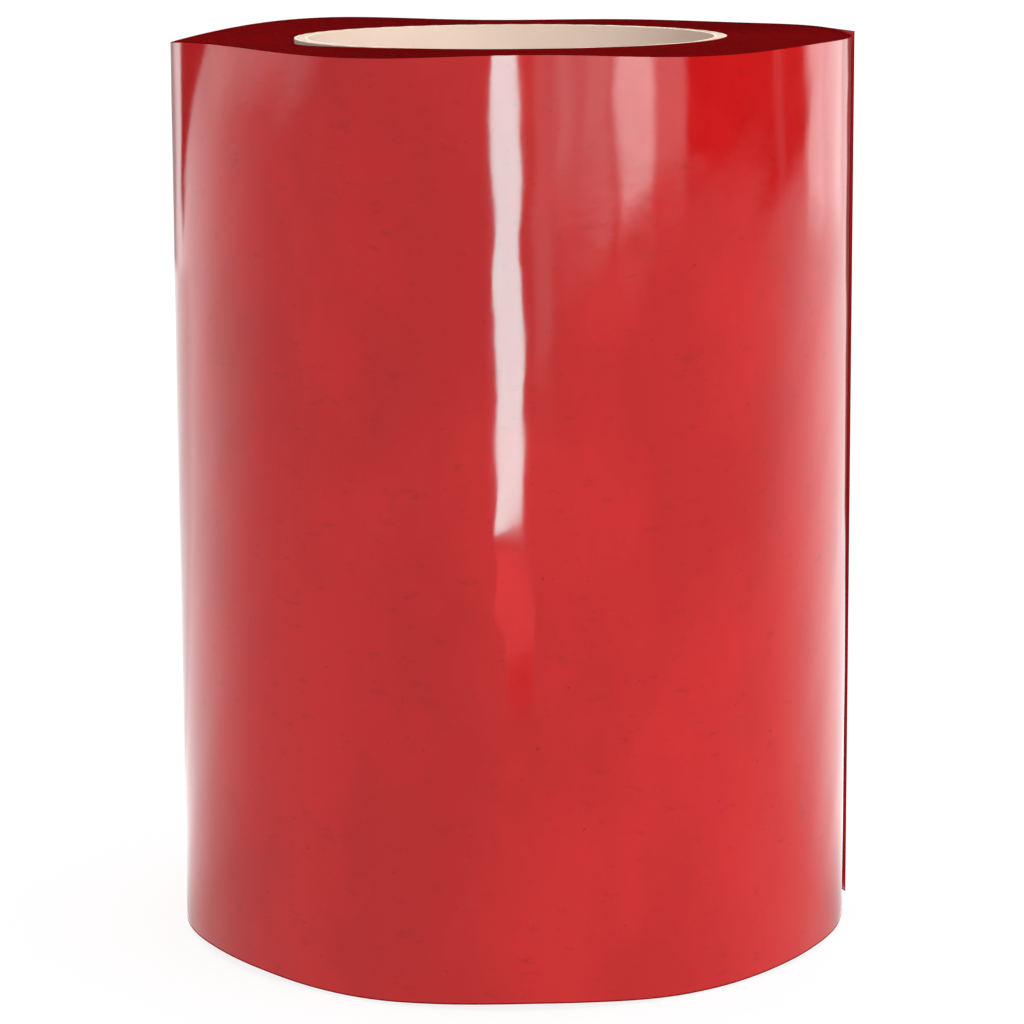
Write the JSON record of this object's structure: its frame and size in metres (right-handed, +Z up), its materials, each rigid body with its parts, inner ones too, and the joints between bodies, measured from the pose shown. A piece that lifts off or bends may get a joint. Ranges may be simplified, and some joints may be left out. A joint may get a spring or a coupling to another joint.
{
  "type": "roll of sign vinyl",
  "caption": "Upright roll of glossy red self-adhesive sign vinyl on a paper core, with its free end lifted and a corner of film that peels off the liner.",
  "frame": {"origin": "centre of the core's bore at its lower end, in the plane that the roll stands on", "axes": "+Z up the axis of the core; +X towards the side where the free end lifts off, which is the right of the picture; +Y away from the camera"},
  "size_m": [0.1283, 0.1267, 0.1686],
  "materials": {
    "cream_paper": "matte",
    "kraft_paper": "matte",
    "start_tape": "satin",
    "release_liner": "gloss",
    "adhesive": "satin",
    "vinyl": "gloss"
  },
  "bodies": {
    "roll": {"core_inner_ply": "cream_paper", "core_body_ply_1": "kraft_paper", "core_body_ply_2": "kraft_paper", "core_body_ply_3": "kraft_paper", "core_body_ply_4": "kraft_paper", "core_outer_ply": "cream_paper", "core_start_tape": "start_tape", "first_turn_liner": "release_liner", "first_turn_adhesive": "adhesive", "first_turn_vinyl": "vinyl", "wound_turns": "vinyl", "last_turn_liner": "release_liner", "last_turn_adhesive": "adhesive", "last_turn_vinyl": "vinyl"},
    "tail": {"tail_liner": "release_liner", "tail_adhesive": "adhesive", "tail_vinyl": "vinyl"},
    "film_tip": {"tip_adhesive": "adhesive", "tip_vinyl": "vinyl"}
  },
  "joints": [
    {"name": "tail_lift", "type": "hinge", "parent": "roll", "child": "tail", "pos_m": [0.06052, 0.01908, 0], "axis": [0, 0, 1], "range_deg": [0, 60], "stiffness_Nm_per_rad": 0.002},
    {"name": "film_peel", "type": "hinge", "parent": "tail", "child": "film_tip", "pos_m": [0.06308, 0.01098, 0], "axis": [0, 0, 1], "range_deg": [0, 75], "stiffness_Nm_per_rad": 0.0005}
  ]
}
